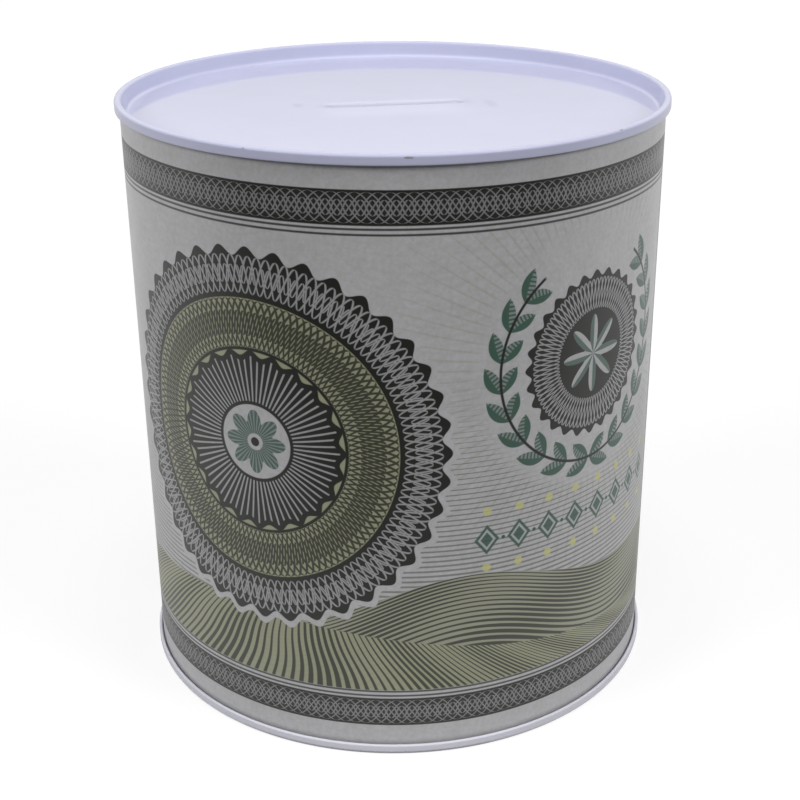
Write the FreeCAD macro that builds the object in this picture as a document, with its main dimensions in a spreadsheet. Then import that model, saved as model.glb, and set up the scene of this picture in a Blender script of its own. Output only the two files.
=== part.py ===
import FreeCAD, Part
import math
import os
import Sketcher
from FreeCAD import Placement, Rotation, Vector

# A sealed tin money box, millimetres, +Z up, origin at the centre of the ring it stands on.
# The slot runs along X. The two ends are stamped alike and seamed onto the wall, so the
# bottom one is the top one's form turned over.

doc = FreeCAD.newDocument("TinMoneyBox")
sizes = doc.addObject("Spreadsheet::Sheet", "Sizes")

DRIVING_SIZES = [
    ("can_height", 172.5, "over both seams"),
    ("body_diameter", 154.4, "outside of the wall"),
    ("wall_gauge", 0.25, "tinplate of the wall"),
    ("end_gauge", 0.30, "tinplate of the ends"),
    ("seam_height", 2.9, "crown to lower edge of a double seam"),
    ("seam_gap", 0.15, "between neighbouring layers of a seam"),
    ("compound_depth", 0.40, "room for compound under the crown"),
    ("compound_gap", 0.05, "compound to the metal above and below"),
    ("compound_width", 0.80, "radial width of the compound ring"),
    ("hook_bend", 0.25, "inside radius of the hooks"),
    ("crown_bend", 0.45, "inside radius at the crown"),
    ("hook_clearance", 0.35, "tip of each hook to the fold it lies in"),
    ("panel_depth", 4.6, "crown down to the panel"),
    ("panel_bend", 1.05, "inside radius at the foot of the chuck wall"),
    ("slot_length", 40.0, "coin slot, over its round ends"),
    ("slot_width", 4.5, "coin slot, between its lips"),
    ("lip_depth", 1.4, "turned-down lip below the panel"),
    ("lip_bend", 0.25, "inside radius of the lip"),
    ("step_radius", 62.0, "outer stiffening step of the bottom"),
    ("step_spacing", 9.0, "between the two steps of the bottom"),
    ("step_height", 1.1, "each step of the bottom"),
    ("step_bend", 0.20, "inside radius of the steps"),
    ("weld_width", 1.0, "lap weld of the wall"),
    ("weld_rise", 0.12, "weld proud of the sheet on each face"),
    ("weld_inset", 0.6, "weld's ends short of the seams"),
    ("weld_angle", -15.0, "turn of the weld from the -X side"),
]
for row, (alias, value, note) in enumerate(DRIVING_SIZES, start=1):
    sizes.set(f"A{row}", note)
    sizes.set(f"B{row}", str(value))
    sizes.setAlias(f"B{row}", alias)
doc.recompute()


def size(expression):
    return float(sizes.evalExpression(expression))


# Radii of the seam, worked outward from the wall: wall, gap, end hook, gap, body hook, gap, end.
WALL_OUT = "Sizes.body_diameter / 2"
WALL_IN = f"({WALL_OUT} - Sizes.wall_gauge)"
CHUCK_OUT = f"({WALL_IN} - Sizes.seam_gap)"
END_HOOK_OUT = f"({WALL_OUT} + Sizes.seam_gap + Sizes.end_gauge)"
BODY_HOOK_IN = f"({END_HOOK_OUT} + Sizes.seam_gap)"
SEAM_IN = f"({BODY_HOOK_IN} + Sizes.wall_gauge + Sizes.seam_gap)"
BODY_CROWN = "(Sizes.end_gauge + Sizes.compound_depth)"

# Each hook stops one clearance short of the fold that it lies in. Both are depths below the crown.
END_HOOK_TIP = f"({BODY_CROWN} + Sizes.wall_gauge + Sizes.hook_clearance)"
BODY_HOOK_TIP = "(Sizes.seam_height - Sizes.end_gauge - Sizes.hook_clearance)"


def new_body(name):
    body = doc.addObject("PartDesign::Body", name)
    body.Label = name
    return body


def new_sketch(body, name, role):
    sketch = body.newObject("Sketcher::SketchObject", name)
    plane = next(f for f in body.Origin.OriginFeatures if f.Role == role)
    sketch.AttachmentSupport = [(plane, "")]
    sketch.MapMode = "FlatFace"
    return sketch


def drive(sketch, name, expression, kind, *where):
    """Add one dimension to a sketch and bind it to the sheet."""
    index = sketch.addConstraint(Sketcher.Constraint(kind, *where, size(expression)))
    sketch.renameConstraint(index, name)
    sketch.setExpression(f"Constraints.{name}", expression)


def bent_sheet(sketch, legs, bends, gauge, finish, start=None):
    """Section of a bent sheet: square legs joined by round bends, one gauge thick.

    Each leg is (name, way, face): way is out, in, up or down in the radius-height plane, and
    face is where its right-hand face lies. Each bend is an inside radius. A sheet with no
    start begins on the axis.
    """
    ways = {"out": Vector(1, 0), "in": Vector(-1, 0), "up": Vector(0, 1), "down": Vector(0, -1)}
    count = len(legs)
    thickness = size(gauge)
    going = [ways[way] for _, way, _ in legs]
    left = [Vector(-way.y, way.x) for way in going]
    faces = [size(face) for _, _, face in legs]
    turns_left = [left[i].dot(going[i + 1]) > 0 for i in range(count - 1)]

    def corner(i, shift):
        upright, flat = (i, i + 1) if going[i].y else (i + 1, i)
        offset = (left[i] + left[i + 1]) * shift
        return Vector(faces[upright], faces[flat]) + offset

    def tip(i, along, shift):
        place = Vector(faces[i], along) if going[i].y else Vector(along, faces[i])
        return place + left[i] * shift

    sides = []
    for shift in (0.0, thickness):
        start_at = size(start) if start else 0.0
        points = [tip(0, start_at, shift)]
        arcs = []
        for i in range(count - 1):
            inside = turns_left[i] == (shift > 0)
            radius = size(bends[i]) + (0.0 if inside else thickness)
            turn = corner(i, shift)
            centre = turn + (going[i + 1] - going[i]) * radius
            points += [turn - going[i] * radius, turn + going[i + 1] * radius]
            arcs.append((centre, radius))
        points.append(tip(count - 1, size(finish), shift))
        lines = [
            sketch.addGeometry(Part.LineSegment(points[2 * i], points[2 * i + 1]))
            for i in range(count)
        ]
        curves = []
        for i, (centre, radius) in enumerate(arcs):
            ends = [points[2 * i + 1], points[2 * i + 2]]
            if not turns_left[i]:
                ends.reverse()
            rays = [end - centre for end in ends]
            angles = [Vector(1, 0).getAngle(ray) * (1 if ray.y >= 0 else -1) for ray in rays]
            circle = Part.Circle(centre, Vector(0, 0, 1), radius)
            curves.append(sketch.addGeometry(Part.ArcOfCircle(circle, angles[0], angles[1])))
        sides.append((lines, curves))

    for lines, curves in sides:
        for i, curve in enumerate(curves):
            enter, leave = (1, 2) if turns_left[i] else (2, 1)
            sketch.addConstraint(Sketcher.Constraint("Tangent", lines[i], 2, curve, enter))
            sketch.addConstraint(Sketcher.Constraint("Tangent", curve, leave, lines[i + 1], 1))
        for i, line in enumerate(lines):
            kind = "Vertical" if going[i].y else "Horizontal"
            sketch.addConstraint(Sketcher.Constraint(kind, line))

    (lines, curves), (far_lines, far_curves) = sides
    for near, far in zip(curves, far_curves):
        sketch.addConstraint(Sketcher.Constraint("Coincident", near, 3, far, 3))
    for i, (name, _, face) in enumerate(legs):
        kind = "DistanceX" if going[i].y else "DistanceY"
        drive(sketch, f"{name}_face", face, kind, -1, 1, lines[i], 1)
    for i, curve in enumerate(curves):
        radius = bends[i] if not turns_left[i] else f"{bends[i]} + {gauge}"
        drive(sketch, f"{legs[i][0]}_to_{legs[i + 1][0]}", radius, "Radius", curve)

    along = "DistanceY" if going[0].y else "DistanceX"
    if start:
        drive(sketch, "start", start, along, -1, 1, lines[0], 1)
    else:
        sketch.addConstraint(Sketcher.Constraint("PointOnObject", lines[0], 1, -2))
    along = "DistanceY" if going[-1].y else "DistanceX"
    drive(sketch, "finish", finish, along, -1, 1, lines[-1], 2)

    for index, end in ((0, 1), (-1, 2)):
        near, far = lines[index], far_lines[index]
        ends = [sketch.Geometry[line] for line in (near, far)]
        tips = [line.StartPoint if end == 1 else line.EndPoint for line in ends]
        cap = sketch.addGeometry(Part.LineSegment(tips[0], tips[1]))
        sketch.addConstraint(Sketcher.Constraint("Coincident", cap, 1, near, end))
        sketch.addConstraint(Sketcher.Constraint("Coincident", cap, 2, far, end))
        kind = "Horizontal" if going[index].y else "Vertical"
        sketch.addConstraint(Sketcher.Constraint(kind, cap))
        if index == 0:
            span = "DistanceX" if going[0].y else "DistanceY"
            gap = tips[1] - tips[0]
            forward = (gap.x if going[0].y else gap.y) > 0
            first, second = (1, 2) if forward else (2, 1)
            drive(sketch, "gauge", gauge, span, cap, first, cap, second)


def revolve(body, sketch):
    turn = body.newObject("PartDesign::Revolution", f"{body.Name}_turned")
    turn.Profile = sketch
    turn.ReferenceAxis = (sketch, ["V_Axis"])
    turn.Angle = 360
    sketch.Visibility = False
    return turn


def stadium(sketch, length, width):
    """Slot outline along X: two straight sides and two half-round ends."""
    radius = size(width) / 2
    reach = size(length) / 2 - radius
    quarter = math.pi / 2

    def half_round(x, first, last):
        circle = Part.Circle(Vector(x, 0), Vector(0, 0, 1), radius)
        return sketch.addGeometry(Part.ArcOfCircle(circle, first, last))

    front = sketch.addGeometry(Part.LineSegment(Vector(-reach, -radius), Vector(reach, -radius)))
    right = half_round(reach, -quarter, quarter)
    back = sketch.addGeometry(Part.LineSegment(Vector(reach, radius), Vector(-reach, radius)))
    far_left = half_round(-reach, quarter, 3 * quarter)
    for first, second in ((front, right), (right, back), (back, far_left), (far_left, front)):
        sketch.addConstraint(Sketcher.Constraint("Tangent", first, 2, second, 1))
    sketch.addConstraint(Sketcher.Constraint("Equal", right, far_left))
    sketch.addConstraint(Sketcher.Constraint("Horizontal", front))
    sketch.addConstraint(Sketcher.Constraint("Symmetric", right, 3, far_left, 3, -1, 1))
    drive(sketch, "end_radius", f"({width}) / 2", "Radius", right)
    drive(sketch, "reach", f"({length} - ({width})) / 2", "DistanceX", -1, 1, right, 3)


def end_legs(panel):
    """Legs and bends of a stamped end, from its panel over the crown to the end hook."""
    legs = panel + [
        ("chuck_wall", "up", CHUCK_OUT),
        ("crown", "out", "-Sizes.end_gauge"),
        ("seam_wall", "down", SEAM_IN),
        ("seam_foot", "in", "-Sizes.seam_height + Sizes.end_gauge"),
        ("hook", "up", END_HOOK_OUT),
    ]
    bends = ["Sizes.panel_bend", "Sizes.crown_bend", "Sizes.crown_bend", "Sizes.hook_bend", "Sizes.hook_bend"]
    return legs, bends


PANEL_UNDER = "-Sizes.panel_depth - Sizes.end_gauge"

# The wall: one sheet whose edges are flanged out and folded back as the two body hooks.
# Its lap weld stands a little proud inside and out, and stops short of the seams.
body_wall = new_body("body_wall")
section = new_sketch(body_wall, "wall_section", "XZ_Plane")
bent_sheet(
    section,
    [
        ("top_hook", "up", f"{BODY_HOOK_IN} + Sizes.wall_gauge"),
        ("top_crown", "in", f"Sizes.can_height - {BODY_CROWN}"),
        ("wall", "down", WALL_IN),
        ("bottom_crown", "out", BODY_CROWN),
        ("bottom_hook", "up", f"{BODY_HOOK_IN} + Sizes.wall_gauge"),
    ],
    ["Sizes.hook_bend"] * 4,
    "Sizes.wall_gauge",
    BODY_HOOK_TIP,
    f"Sizes.can_height - {BODY_HOOK_TIP}",
)
revolve(body_wall, section)
doc.recompute()
weld_section = new_sketch(body_wall, "weld_section", "XY_Plane")
weld_section.setExpression("AttachmentOffset.Base.z", "Sizes.seam_height + Sizes.weld_inset")
weld_out = f"{WALL_OUT} + Sizes.weld_rise"
weld_in = f"{WALL_IN} - Sizes.weld_rise"
half = size("Sizes.weld_width / 2")
box = [(-size(weld_out), -half), (-size(weld_in), -half), (-size(weld_in), half), (-size(weld_out), half)]
edges = [
    weld_section.addGeometry(Part.LineSegment(Vector(*box[i]), Vector(*box[(i + 1) % 4])))
    for i in range(4)
]
for i in range(4):
    weld_section.addConstraint(Sketcher.Constraint("Coincident", edges[i], 2, edges[(i + 1) % 4], 1))
for kind, line in (("Horizontal", 0), ("Horizontal", 2), ("Vertical", 3)):
    weld_section.addConstraint(Sketcher.Constraint(kind, edges[line]))
weld_section.addConstraint(Sketcher.Constraint("Symmetric", edges[1], 1, edges[1], 2, -1))
drive(weld_section, "weld_width", "Sizes.weld_width", "DistanceY", edges[1], 1, edges[1], 2)
drive(weld_section, "weld_out", weld_out, "DistanceX", edges[0], 1, -1, 1)
drive(weld_section, "weld_in", weld_in, "DistanceX", edges[0], 2, -1, 1)
weld = body_wall.newObject("PartDesign::Pad", "lap_weld")
weld.Profile = weld_section
weld.setExpression("Length", "Sizes.can_height - 2 * (Sizes.seam_height + Sizes.weld_inset)")
weld_section.Visibility = False
body_wall.Placement = Placement(Vector(0, 0, 0), Rotation(Vector(0, 0, 1), size("Sizes.weld_angle")))
body_wall.setExpression("Placement.Rotation.Angle", "Sizes.weld_angle")
doc.recompute()

# The top end: a flat countersunk panel with the coin slot. The slot's edges are turned down
# all round into a smooth lip.
top_end = new_body("top_end")
section = new_sketch(top_end, "top_section", "XZ_Plane")
legs, bends = end_legs([("panel", "out", PANEL_UNDER)])
bent_sheet(section, legs, bends, "Sizes.end_gauge", f"-{END_HOOK_TIP}")
revolve(top_end, section)
doc.recompute()
lip_outline = new_sketch(top_end, "lip_outline", "XY_Plane")
lip_outline.setExpression("AttachmentOffset.Base.z", PANEL_UNDER)
stadium(
    lip_outline,
    "Sizes.slot_length + 2 * Sizes.end_gauge",
    "Sizes.slot_width + 2 * Sizes.end_gauge",
)
lip = top_end.newObject("PartDesign::Pad", "slot_lip")
lip.Profile = lip_outline
lip.Reversed = True
lip.setExpression("Length", "Sizes.lip_depth")
lip_outline.Visibility = False
doc.recompute()
slot_outline = new_sketch(top_end, "slot_outline", "XY_Plane")
slot_outline.setExpression("AttachmentOffset.Base.z", "-Sizes.panel_depth")
stadium(slot_outline, "Sizes.slot_length", "Sizes.slot_width")
slot = top_end.newObject("PartDesign::Pocket", "coin_slot")
slot.Profile = slot_outline
slot.setExpression("Length", "Sizes.end_gauge + Sizes.lip_depth")
slot_outline.Visibility = False
doc.recompute()


def ring_of_edges(feature, height, reach):
    """Names of the edges that lie at one height within one reach of the axis."""
    names = []
    for index, edge in enumerate(feature.Shape.Edges, start=1):
        box = edge.BoundBox
        level = abs(box.ZMin - height) < 1e-4 and abs(box.ZMax - height) < 1e-4
        if level and max(abs(box.XMin), abs(box.XMax)) < reach:
            names.append(f"Edge{index}")
    return names


inner_reach = size("Sizes.slot_length / 2 + 2 * Sizes.end_gauge")
lip_root = top_end.newObject("PartDesign::Fillet", "lip_root")
lip_root.Base = (slot, ring_of_edges(slot, size(PANEL_UNDER), inner_reach))
lip_root.setExpression("Radius", "Sizes.lip_bend")
doc.recompute()
lip_mouth = top_end.newObject("PartDesign::Fillet", "lip_mouth")
lip_mouth.Base = (lip_root, ring_of_edges(lip_root, -size("Sizes.panel_depth"), inner_reach))
lip_mouth.setExpression("Radius", "Sizes.lip_bend + Sizes.end_gauge")
doc.recompute()
top_end.setExpression("Placement.Base.z", "Sizes.can_height")

# The bottom end: the same stamping, stiffened by two round steps instead of the slot.
bottom_end = new_body("bottom_end")
section = new_sketch(bottom_end, "bottom_section", "XZ_Plane")
INNER_STEP = "Sizes.step_radius - Sizes.step_spacing"
legs, bends = end_legs([
    ("panel", "out", PANEL_UNDER),
    ("inner_step", "up", INNER_STEP),
    ("bead", "out", f"{PANEL_UNDER} + Sizes.step_height"),
    ("outer_step", "down", "Sizes.step_radius"),
    ("border", "out", PANEL_UNDER),
])
bent_sheet(section, legs, ["Sizes.step_bend"] * 4 + bends, "Sizes.end_gauge", f"-{END_HOOK_TIP}")
revolve(bottom_end, section)
bottom_end.Placement = Placement(Vector(0, 0, 0), Rotation(Vector(1, 0, 0), 180))
doc.recompute()


def compound_ring(name):
    """Sealing compound squeezed between the crown of an end and the crown of the body hook."""
    body = new_body(name)
    outline = new_sketch(body, f"{name}_section", "XZ_Plane")
    inner = f"({CHUCK_OUT} + {SEAM_IN} - Sizes.compound_width) / 2"
    top = "Sizes.end_gauge + Sizes.compound_gap"
    depth = "Sizes.compound_depth - 2 * Sizes.compound_gap"
    low = Vector(size(inner), -size(top) - size(depth))
    high = Vector(size(inner) + size("Sizes.compound_width"), -size(top))
    spots = [low, Vector(high.x, low.y), high, Vector(low.x, high.y)]
    lines = [outline.addGeometry(Part.LineSegment(spots[i], spots[(i + 1) % 4])) for i in range(4)]
    for i in range(4):
        outline.addConstraint(Sketcher.Constraint("Coincident", lines[i], 2, lines[(i + 1) % 4], 1))
        kind = "Horizontal" if i % 2 == 0 else "Vertical"
        outline.addConstraint(Sketcher.Constraint(kind, lines[i]))
    drive(outline, "inner", inner, "DistanceX", -1, 1, lines[0], 1)
    drive(outline, "width", "Sizes.compound_width", "DistanceX", lines[0], 1, lines[0], 2)
    drive(outline, "top", top, "DistanceY", lines[2], 1, -1, 1)
    drive(outline, "depth", depth, "DistanceY", lines[1], 1, lines[1], 2)
    revolve(body, outline)
    return body


top_seam_compound = compound_ring("top_seam_compound")
top_seam_compound.setExpression("Placement.Base.z", "Sizes.can_height")
bottom_seam_compound = compound_ring("bottom_seam_compound")
bottom_seam_compound.Placement = Placement(Vector(0, 0, 0), Rotation(Vector(1, 0, 0), 180))
doc.recompute()

for item in doc.Objects:
    if "Invalid" in item.State or "Error" in item.State:
        raise RuntimeError(f"{item.Label} did not build: {item.State}")

os.makedirs("parts", exist_ok=True)
for body in (body_wall, top_end, bottom_end, top_seam_compound, bottom_seam_compound):
    if body.Shape.isNull() or not body.Shape.isValid():
        raise RuntimeError(f"{body.Label} has no valid shape")
    body.Shape.exportStep(f"parts/{body.Label}.step")
    box = body.Shape.BoundBox
    print(f"{body.Label}: {len(body.Shape.Solids)} solid, {body.Shape.Volume:.1f} mm3, "
          f"{box.XLength:.2f} x {box.YLength:.2f} x {box.ZLength:.2f} from z {box.ZMin:.2f}")
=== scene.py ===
import math

import bpy
import numpy as np
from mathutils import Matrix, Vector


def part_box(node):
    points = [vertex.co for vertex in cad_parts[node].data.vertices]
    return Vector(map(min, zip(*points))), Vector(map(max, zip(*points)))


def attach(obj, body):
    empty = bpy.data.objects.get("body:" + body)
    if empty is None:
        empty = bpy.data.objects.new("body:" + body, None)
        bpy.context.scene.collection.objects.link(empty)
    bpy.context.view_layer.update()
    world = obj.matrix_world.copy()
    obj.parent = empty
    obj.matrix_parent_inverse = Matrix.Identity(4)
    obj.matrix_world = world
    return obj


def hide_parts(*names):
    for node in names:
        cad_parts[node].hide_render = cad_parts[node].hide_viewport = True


# A sealed tin money box: a printed wall, two lacquered ends seamed onto it, and the sealing
# compound in the seams. Metres, +Z up, the coin slot along X.
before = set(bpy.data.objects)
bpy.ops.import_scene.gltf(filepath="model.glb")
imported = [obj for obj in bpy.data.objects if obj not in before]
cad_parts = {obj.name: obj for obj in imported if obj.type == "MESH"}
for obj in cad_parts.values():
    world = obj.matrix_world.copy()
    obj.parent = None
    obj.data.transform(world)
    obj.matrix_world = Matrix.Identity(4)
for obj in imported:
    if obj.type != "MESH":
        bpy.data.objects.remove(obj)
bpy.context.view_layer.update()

# Top end: stamped from white-lacquered tinplate. Its panel lies below the rim, and the rim is
# rolled over the wall's edge into a double seam. The slot is pierced from above, which turns its
# edges down into a lip and pushes the panel around it a little out of its plane.
MM = 0.001
END_GAUGE = 0.30 * MM
WALL_GAUGE = 0.25 * MM
SEAM_GAP = 0.15 * MM
SEAM_HEIGHT = 2.9 * MM
PANEL_DEPTH = 4.6 * MM
HOOK_CLEARANCE = 0.35 * MM
COMPOUND_DEPTH = 0.40 * MM
CAN_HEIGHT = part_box("top_end")[1][2]
WALL_RADIUS = 77.2 * MM
CHUCK_RADIUS = WALL_RADIUS - WALL_GAUGE - SEAM_GAP - END_GAUGE / 2
END_HOOK_RADIUS = WALL_RADIUS + SEAM_GAP + END_GAUGE / 2
BODY_HOOK_RADIUS = END_HOOK_RADIUS + END_GAUGE / 2 + SEAM_GAP + WALL_GAUGE / 2
SEAM_RADIUS = BODY_HOOK_RADIUS + WALL_GAUGE / 2 + SEAM_GAP + END_GAUGE / 2
BODY_CROWN = END_GAUGE + COMPOUND_DEPTH + WALL_GAUGE / 2

CROWN_BEND = 0.60 * MM
FOLD_BEND = 0.28 * MM
FOLD_SLANT = 0.22 * MM
FOLD_RUN = 0.90 * MM
PANEL_BEND = 1.2 * MM
CHUCK_LEAN = 0.8 * MM
PANEL_INSET = 1.6 * PANEL_BEND
RIM_STEP = 0.7 * MM
ARC_POINTS = 7
ROUND_COLUMNS = 360

SLOT_LENGTH = 40.0 * MM
SLOT_WIDTH = 4.5 * MM
LIP_DEPTH = 1.4 * MM
LIP_BEND = 0.35 * MM
LIP_LEAN = 0.85 * MM
LIP_REACH = 1.4 * MM
LIP_STEP = 0.3 * MM
SLOT_END_COLUMNS = 31
PANEL_ROWS = 32
EVEN_SHARE = 0.2
NEARLY_ZERO = 1e-9
DIP_DEPTH = 0.18 * MM
DIP_REACH = 2.6 * MM
SWELL_HEIGHT = 0.13 * MM
SWELL_REACH = 14.0 * MM
DIP_TIP = 20.6 * MM
SWELL_TIP = 24.5 * MM
PRESSED_FADE = 9.0 * MM


def bent_path(corners, bends, step):
    """Centre line of a bent sheet, (distance, height) points with a left-hand unit normal each.

    Every corner is cut back by bend * tan(half its turn) and replaced by an arc of that bend.
    The straight runs between the arcs are divided evenly into steps.
    """
    corners = np.asarray(corners, float)
    ways = np.diff(corners, axis=0)
    ways /= np.linalg.norm(ways, axis=1)[:, None]
    left = np.stack([-ways[:, 1], ways[:, 0]], axis=1)
    turns = np.cross(ways[:-1], ways[1:])
    angles = np.arctan2(turns, (ways[:-1] * ways[1:]).sum(axis=1))
    cuts = np.asarray(bends) * np.tan(np.abs(angles) / 2)
    points = []
    normals = []
    start = corners[0]
    for i, way in enumerate(ways):
        last = i == len(ways) - 1
        stop = corners[i + 1] - (0 if last else cuts[i]) * way
        count = max(2, int(np.ceil(np.linalg.norm(stop - start) / step)) + 1)
        points.append(start + np.linspace(0, 1, count)[:, None] * (stop - start))
        normals.append(np.tile(left[i], (count, 1)))
        if last:
            break
        side = np.sign(angles[i])
        centre = stop + side * bends[i] * left[i]
        sweep = np.linspace(0, angles[i], ARC_POINTS + 2)[1:-1, None]
        outward = -side * (np.cos(sweep) * left[i] - np.sin(sweep) * way)
        points.append(centre + bends[i] * outward)
        normals.append(-side * outward)
        start = corners[i + 1] + cuts[i] * ways[i + 1]
    return np.concatenate(points), np.concatenate(normals)


def both_faces(points, normals, gauge):
    """Closed section of a sheet: its left face forwards, then its right face backwards."""
    return np.concatenate([points + normals * gauge / 2, (points - normals * gauge / 2)[::-1]])


def closed_shell(name, grid, material, bake_map=None, poles=False):
    """Smooth mesh from a grid of points that closes on itself along rows and along columns.

    With poles, each point of the first row is one point on the axis, and each of the last row
    another, and fans of triangles close the shell there instead of its rows. The faces are turned
    outwards by the sign of the volume that they enclose. A bake map gives the four corners of each
    face their place on the piece's baked picture.
    """
    rows, columns = grid.shape[:2]
    index = np.arange(rows * columns).reshape(rows, columns)
    points = grid.reshape(-1, 3)
    if poles:
        index = np.clip(index - columns + 1, 0, (rows - 2) * columns + 1)
        points = points[columns - 1 : 1 - columns]
    right = np.roll(index, -1, axis=1)
    below, below_right = np.roll(index, -1, axis=0), np.roll(right, -1, axis=0)
    quads = np.stack([index, right, below_right, below], axis=-1)
    a, b, c, d = (points[quads[..., corner]] for corner in range(4))
    volume = (a * (np.cross(b, c) + np.cross(c, d))).sum()
    way = -1 if volume < 0 else 1
    parts = [quads.reshape(-1, 4)]
    if poles:
        parts = [quads[0, :, 1:], quads[1:-2].reshape(-1, 4), quads[-2, :, :3]]
    faces = sum((part[:, ::way].tolist() for part in parts), [])
    mesh = bpy.data.meshes.new(name)
    mesh.from_pydata(points.tolist(), [], faces)
    mesh.polygons.foreach_set("use_smooth", np.ones(len(faces), bool))
    if bake_map is not None:
        corners = bake_map.reshape(-1, 4, 2)[:, ::way]
        mesh.uv_layers.new(name="OFBake").data.foreach_set("uv", corners.ravel())
    mesh.materials.append(material)
    mesh.update()
    piece = bpy.data.objects.new(name, mesh)
    bpy.context.collection.objects.link(piece)
    return piece


def turned(section, angles):
    """Section of (radius, height) points carried round the can's axis."""
    radius, height = section[:, :1], section[:, 1:]
    rings = [radius * np.cos(angles), radius * np.sin(angles), height + 0 * angles]
    return np.stack(rings, axis=-1)


def rim_path(panel_radius):
    """Centre line of an end from its panel up the chuck wall, over the crown and into the hook.

    Heights are measured from the crown. The chuck wall leans in a little towards its foot, and the
    fold slants in towards the wall, which leaves a groove beside it.
    """
    top = -END_GAUGE / 2
    foot = -SEAM_HEIGHT + END_GAUGE / 2
    hook_tip = -(BODY_CROWN + WALL_GAUGE / 2 + HOOK_CLEARANCE)
    panel = -PANEL_DEPTH - END_GAUGE / 2
    corners = [
        (panel_radius, panel),
        (CHUCK_RADIUS - CHUCK_LEAN, panel),
        (CHUCK_RADIUS, top),
        (SEAM_RADIUS, top),
        (SEAM_RADIUS, foot),
        (END_HOOK_RADIUS + FOLD_SLANT, foot),
        (END_HOOK_RADIUS, foot + FOLD_RUN),
        (END_HOOK_RADIUS, hook_tip),
    ]
    bends = [PANEL_BEND, CROWN_BEND, CROWN_BEND, FOLD_BEND, FOLD_BEND, FOLD_BEND]
    return bent_path(corners, bends, RIM_STEP)


def slot_ray(angles, half_length, half_width):
    """Where a ray from the slot's centre meets its outline, and the outline's outward normal there.

    Between its round ends the outline is at half width; a ray that passes outside that stretch
    meets a half circle, at the far root of a quadratic.
    """
    c, s = np.cos(angles), np.sin(angles)
    reach = half_length - half_width
    side = half_width / np.maximum(np.abs(s), NEARLY_ZERO)
    ahead = reach * np.abs(c)
    end = ahead + np.sqrt(np.maximum(ahead**2 - reach**2 + half_width**2, 0))
    on_side = side * np.abs(c) <= reach
    distance = np.where(on_side, side, end)
    points = distance[:, None] * np.stack([c, s], axis=1)
    centres = np.stack([np.clip(points[:, 0], -reach, reach), 0 * c], axis=1)
    return points, (points - centres) / half_width


def smooth_step(share):
    """0 below 0 and 1 above 1, with a cubic between them that is level at both ends."""
    share = np.clip(share, 0, 1)
    return share**2 * (3 - 2 * share)


def pressed_panel(x, y):
    """How far the slot's punch has pushed the panel up or down.

    Behind the slot it dips to the edge over a short way, as far as the slot's ends. Before the slot
    it is swollen, falls away slowly and fades out past the ends. Both are smooth steps.
    """
    beside = np.abs(y) - SLOT_WIDTH / 2
    behind = smooth_step(y / SLOT_WIDTH + 0.5)
    dip = DIP_DEPTH * behind * smooth_step(1 - beside / DIP_REACH)
    swell = SWELL_HEIGHT * (1 - behind) * smooth_step(1 - beside / SWELL_REACH)
    dip *= smooth_step((DIP_TIP - np.abs(x)) / PRESSED_FADE)
    swell *= smooth_step((SWELL_TIP - np.abs(x)) / PRESSED_FADE)
    return swell - dip


def top_end_grid():
    """Every face of the top end as one closed grid: down inside the slot's lip, and back.

    Each column is a ray from the slot's centre, with more of them at the slot's round ends. The
    lip follows the slot's outline and the rim the can's circle. The panel between them is straight
    along the ray, and its rows lie closer together near the slot, as a square.
    """
    around = np.linspace(0, 2 * np.pi, ROUND_COLUMNS, endpoint=False)
    half_length, half_width = SLOT_LENGTH / 2, SLOT_WIDTH / 2
    ends = np.linspace(-0.5, 0.5, SLOT_END_COLUMNS) * np.pi
    end_x = half_length - half_width + np.cos(ends) * half_width
    end_angles = np.arctan2(np.sin(ends) * half_width, end_x)
    angles = np.concatenate([around, end_angles % (2 * np.pi), end_angles + np.pi])
    angles = np.unique(np.round(angles, 9))

    panel = -PANEL_DEPTH - END_GAUGE / 2
    lip_edge = END_GAUGE / 2
    lip = [(lip_edge - LIP_LEAN, panel - LIP_DEPTH), (lip_edge, panel), (LIP_REACH, panel)]
    lip_points, lip_normals = bent_path(lip, [LIP_BEND], LIP_STEP)
    panel_radius = CHUCK_RADIUS - CHUCK_LEAN - PANEL_INSET
    rim_points, rim_normals = rim_path(panel_radius)

    edge, outward = slot_ray(angles, half_length, half_width)
    circle = np.stack([np.cos(angles), np.sin(angles)], axis=1)
    across = np.linspace(0, 1, PANEL_ROWS + 2)[1:-1]
    across = EVEN_SHARE * across + (1 - EVEN_SHARE) * across**2

    def face(side):
        lip_side = lip_points + side * lip_normals * END_GAUGE / 2
        rim_side = rim_points + side * rim_normals * END_GAUGE / 2
        near = edge + lip_side[:, None, :1] * outward
        far = rim_side[:, None, :1] * circle
        between = near[-1] + across[:, None, None] * (far[0] - near[-1])
        flat = np.concatenate([near, between, far])
        level = np.full(len(across), panel + side * END_GAUGE / 2)
        height = np.concatenate([lip_side[:, 1], level, rim_side[:, 1]])
        height = np.broadcast_to(height[:, None, None], flat.shape[:2] + (1,))
        return np.concatenate([flat, height], axis=2)

    grid = np.concatenate([face(1), face(-1)[::-1]])
    grid[..., 2] += CAN_HEIGHT + pressed_panel(grid[..., 0], grid[..., 1])
    return grid


class Field:
    """A number that changes over a surface: a node's output, with ordinary arithmetic."""

    def __init__(self, socket):
        self.socket = socket
        self.tree = socket.id_data

    def __add__(self, other):
        return math_step("ADD", self, other)

    def __sub__(self, other):
        return math_step("SUBTRACT", self, other)

    def __rsub__(self, other):
        return math_step("SUBTRACT", other, self)

    def __mul__(self, other):
        return math_step("MULTIPLY", self, other)

    def __truediv__(self, other):
        return math_step("DIVIDE", self, other)

    __radd__ = __add__
    __rmul__ = __mul__


def connect(tree, value, socket):
    """Feed a socket from a field, or set it to a plain number or colour."""
    if isinstance(value, Field):
        tree.links.new(value.socket, socket)
    else:
        socket.default_value = value


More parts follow.
